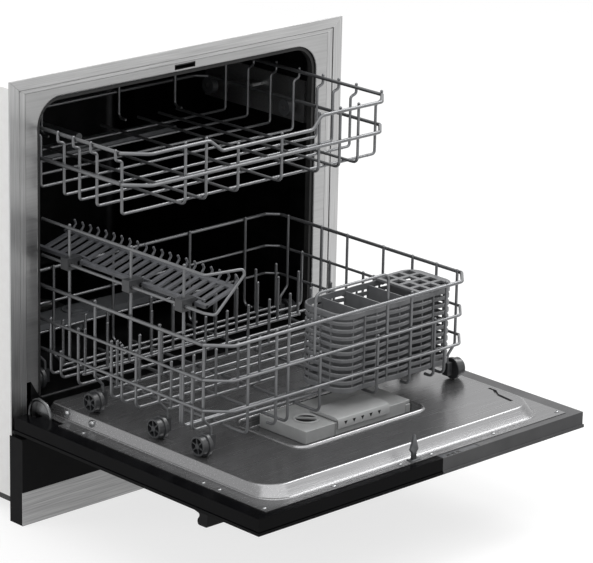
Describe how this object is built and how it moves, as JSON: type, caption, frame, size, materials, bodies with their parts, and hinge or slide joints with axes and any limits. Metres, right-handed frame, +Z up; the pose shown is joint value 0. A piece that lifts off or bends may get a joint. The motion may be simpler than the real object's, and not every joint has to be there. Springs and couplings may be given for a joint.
{
  "type": "dishwasher",
  "caption": "Built-in compact dishwasher standing open, its door level and both wire racks drawn out, with a comb shelf and a slotted basket.",
  "frame": {"origin": "On the floor, midway along the plane of the front frame's face", "axes": "+X to the right seen from the front, +Y from the door to the back, +Z up"},
  "size_m": [0.595, 1.0062, 0.604],
  "materials": {
    "tub_steel": "satin drawn stainless",
    "frame_steel": "bright brushed stainless",
    "liner_steel": "satin stainless",
    "galvanised": "dull galvanised sheet",
    "zinc_steel": "zinc plated",
    "chromed": "bright",
    "black_glass": "gloss black, opaque",
    "black_gloss": "gloss black",
    "black_matte": "moulded black",
    "seal_rubber": "soft black",
    "grey_plastic": "mid grey moulded",
    "light_plastic": "pale grey moulded",
    "dark_plastic": "dark grey moulded",
    "coated_wire": "grey nylon coated wire",
    "pump_body": "moulded"
  },
  "bodies": {
    "cabinet": {"tub": "tub_steel", "tub_floor": "tub_steel", "front_frame": "frame_steel", "kick_plate": "frame_steel", "tub_seal": "seal_rubber", "outer_casing": "galvanised", "rear_panel": "galvanised", "base_pan": "black_matte", "levelling_feet": "black_matte", "base_front_panel": "black_gloss", "hinge_brackets": "zinc_steel", "door_springs": "zinc_steel", "sump": "dark_plastic", "water_softener": "dark_plastic", "latch_housing": "dark_plastic", "spray_feed_pipes": "dark_plastic", "circulation_pump": "pump_body", "drain_pump": "pump_body", "inlet_valve": "pump_body", "drain_outlet": "pump_body", "roller_brackets": "light_plastic"},
    "door": {"door_front_glass": "black_glass", "door_core": "black_gloss", "door_liner": "liner_steel", "hinge_arms": "chromed", "pivot_screws": "chromed", "door_handle": "black_gloss", "latch_striker": "zinc_steel", "dispenser_body": "light_plastic"},
    "detergent_lid": {"dispenser_lid": "grey_plastic"},
    "rinse_cap": {"rinse_aid_cap": "grey_plastic"},
    "salt_lid": {"salt_cap": "dark_plastic"},
    "filter": {"filter_basket": "dark_plastic"},
    "lower_arm": {"lower_spray_arm": "dark_plastic"},
    "upper_arm": {"upper_spray_arm": "dark_plastic"},
    "lower_rack": {"lower_rack_sides": "coated_wire", "lower_rack_ends": "coated_wire", "lower_rack_floor": "coated_wire", "plate_tines": "coated_wire", "shelf_frame": "coated_wire", "wheel_carriers": "grey_plastic", "shelf_clips": "grey_plastic"},
    "upper_rack": {"upper_rack_sides": "coated_wire", "upper_rack_ends": "coated_wire", "upper_rack_floor": "coated_wire"},
    "shelf": {"side_shelf": "grey_plastic"},
    "basket": {"cutlery_basket": "grey_plastic"},
    "basket_cover": {"basket_lid": "grey_plastic"},
    "rack_wheel_left_1": {"wheel_left_1": "dark_plastic"},
    "rack_wheel_left_2": {"wheel_left_2": "dark_plastic"},
    "rack_wheel_left_3": {"wheel_left_3": "dark_plastic"},
    "rack_wheel_left_4": {"wheel_left_4": "dark_plastic"},
    "rack_wheel_right_1": {"wheel_right_1": "dark_plastic"},
    "rack_wheel_right_2": {"wheel_right_2": "dark_plastic"},
    "rack_wheel_right_3": {"wheel_right_3": "dark_plastic"},
    "rack_wheel_right_4": {"wheel_right_4": "dark_plastic"},
    "guide_front_left": {"guide_roller_front_left": "grey_plastic"},
    "guide_front_right": {"guide_roller_front_right": "grey_plastic"},
    "guide_rear_left": {"guide_roller_rear_left": "grey_plastic"},
    "guide_rear_right": {"guide_roller_rear_right": "grey_plastic"}
  },
  "joints": [
    {"name": "door_hinge", "type": "hinge", "parent": "cabinet", "child": "door", "pos_m": [0, -0.016, 0.1342], "axis": [-1, 0, 0], "range_deg": [-2, 0]},
    {"name": "lower_rack_slide", "type": "slide", "parent": "cabinet", "child": "lower_rack", "axis": [0, 1, 0], "range_m": [0, 0.355]},
    {"name": "upper_rack_slide", "type": "slide", "parent": "cabinet", "child": "upper_rack", "axis": [0, 1, 0], "range_m": [0, 0.197]},
    {"name": "wheel_turn_left_1", "type": "hinge", "parent": "lower_rack", "child": "rack_wheel_left_1", "pos_m": [-0.23125, -0.30176, 0.1796], "axis": [-1, 0, 0], "range_deg": [0, 1357]},
    {"name": "wheel_turn_left_2", "type": "hinge", "parent": "lower_rack", "child": "rack_wheel_left_2", "pos_m": [-0.23125, -0.21718, 0.1796], "axis": [-1, 0, 0], "range_deg": [0, 1357]},
    {"name": "wheel_turn_left_3", "type": "hinge", "parent": "lower_rack", "child": "rack_wheel_left_3", "pos_m": [-0.23125, -0.08982, 0.1796], "axis": [-1, 0, 0], "range_deg": [0, 1357]},
    {"name": "wheel_turn_left_4", "type": "hinge", "parent": "lower_rack", "child": "rack_wheel_left_4", "pos_m": [-0.23125, 0.02998, 0.1796], "axis": [-1, 0, 0], "range_deg": [0, 1357]},
    {"name": "wheel_turn_right_1", "type": "hinge", "parent": "lower_rack", "child": "rack_wheel_right_1", "pos_m": [0.23125, -0.30176, 0.1796], "axis": [-1, 0, 0], "range_deg": [0, 1357]},
    {"name": "wheel_turn_right_2", "type": "hinge", "parent": "lower_rack", "child": "rack_wheel_right_2", "pos_m": [0.23125, -0.21718, 0.1796], "axis": [-1, 0, 0], "range_deg": [0, 1357]},
    {"name": "wheel_turn_right_3", "type": "hinge", "parent": "lower_rack", "child": "rack_wheel_right_3", "pos_m": [0.23125, -0.08982, 0.1796], "axis": [-1, 0, 0], "range_deg": [0, 1357]},
    {"name": "wheel_turn_right_4", "type": "hinge", "parent": "lower_rack", "child": "rack_wheel_right_4", "pos_m": [0.23125, 0.02998, 0.1796], "axis": [-1, 0, 0], "range_deg": [0, 1357]},
    {"name": "guide_turn_front_left", "type": "hinge", "parent": "cabinet", "child": "guide_front_left", "pos_m": [-0.235, 0.045, 0.4732], "axis": [-1, 0, 0], "range_deg": [0, 941]},
    {"name": "guide_turn_front_right", "type": "hinge", "parent": "cabinet", "child": "guide_front_right", "pos_m": [0.235, 0.045, 0.4732], "axis": [-1, 0, 0], "range_deg": [0, 941]},
    {"name": "guide_turn_rear_left", "type": "hinge", "parent": "cabinet", "child": "guide_rear_left", "pos_m": [-0.235, 0.205, 0.4732], "axis": [-1, 0, 0], "range_deg": [0, 941]},
    {"name": "guide_turn_rear_right", "type": "hinge", "parent": "cabinet", "child": "guide_rear_right", "pos_m": [0.235, 0.205, 0.4732], "axis": [-1, 0, 0], "range_deg": [0, 941]},
    {"name": "lower_arm_spin", "type": "hinge", "parent": "cabinet", "child": "lower_arm", "pos_m": [0, 0.225, 0.172], "axis": [0, 0, 1], "continuous": true},
    {"name": "upper_arm_spin", "type": "hinge", "parent": "cabinet", "child": "upper_arm", "pos_m": [0, 0.225, 0.418], "axis": [0, 0, 1], "continuous": true},
    {"name": "filter_lift", "type": "slide", "parent": "cabinet", "child": "filter", "axis": [0, 0, -1], "range_m": [-0.1, 0]},
    {"name": "salt_lid_turn", "type": "hinge", "parent": "cabinet", "child": "salt_lid", "pos_m": [-0.13, 0.33, 0.1506], "axis": [0, 0, 1], "range_deg": [0, 180]},
    {"name": "detergent_lid_slide", "type": "slide", "parent": "door", "child": "detergent_lid", "axis": [-1, 0, 0], "range_m": [-0.032, 0]},
    {"name": "rinse_cap_turn", "type": "hinge", "parent": "door", "child": "rinse_cap", "pos_m": [-0.046, -0.3, 0.1703], "axis": [0, 0, 1], "range_deg": [0, 90]},
    {"name": "basket_lift", "type": "slide", "parent": "lower_rack", "child": "basket", "axis": [0, 0, -1], "range_m": [-0.2, 0]},
    {"name": "basket_cover_hinge", "type": "hinge", "parent": "basket", "child": "basket_cover", "pos_m": [0.143, -0.274, 0.3053], "axis": [0, 1, 0], "range_deg": [-90, 0]},
    {"name": "shelf_fold", "type": "hinge", "parent": "lower_rack", "child": "shelf", "pos_m": [-0.219, -0.122, 0.357], "axis": [0, 1, 0], "range_deg": [-70, 0]}
  ],
  "couplings": [
    {"joint": "wheel_turn_left_1", "follows": "lower_rack_slide", "rad_per_m": 66.667},
    {"joint": "wheel_turn_left_2", "follows": "lower_rack_slide", "rad_per_m": 66.667},
    {"joint": "wheel_turn_left_3", "follows": "lower_rack_slide", "rad_per_m": 66.667},
    {"joint": "wheel_turn_left_4", "follows": "lower_rack_slide", "rad_per_m": 66.667},
    {"joint": "wheel_turn_right_1", "follows": "lower_rack_slide", "rad_per_m": 66.667},
    {"joint": "wheel_turn_right_2", "follows": "lower_rack_slide", "rad_per_m": 66.667},
    {"joint": "wheel_turn_right_3", "follows": "lower_rack_slide", "rad_per_m": 66.667},
    {"joint": "wheel_turn_right_4", "follows": "lower_rack_slide", "rad_per_m": 66.667},
    {"joint": "guide_turn_front_left", "follows": "upper_rack_slide", "rad_per_m": 83.333},
    {"joint": "guide_turn_front_right", "follows": "upper_rack_slide", "rad_per_m": 83.333},
    {"joint": "guide_turn_rear_left", "follows": "upper_rack_slide", "rad_per_m": 83.333},
    {"joint": "guide_turn_rear_right", "follows": "upper_rack_slide", "rad_per_m": 83.333}
  ]
}
